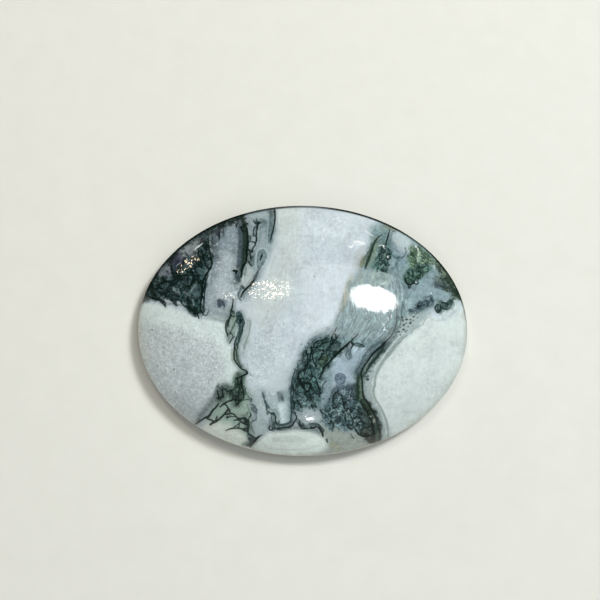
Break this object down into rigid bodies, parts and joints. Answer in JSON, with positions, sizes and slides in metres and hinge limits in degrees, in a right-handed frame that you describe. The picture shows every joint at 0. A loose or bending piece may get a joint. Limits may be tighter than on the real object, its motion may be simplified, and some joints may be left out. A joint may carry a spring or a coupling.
{
  "type": "moss agate cabochon",
  "caption": "Oval moss agate cabochon: polished dome of milky chalcedony with dark green moss and veins, narrow girdle, flat back for setting or gluing.",
  "frame": {"origin": "centre of the flat back, which the stone lies on", "axes": "+X along the oval's long axis, +Y along its short axis towards the picture's top, +Z out of the back towards the top of the dome"},
  "size_m": [0.03, 0.023, 0.0062],
  "materials": {
    "moss_agate": "polished milky chalcedony, dark green moss and veins in it"
  },
  "bodies": {
    "root": {"cabochon": "moss_agate"}
  },
  "joints": []
}
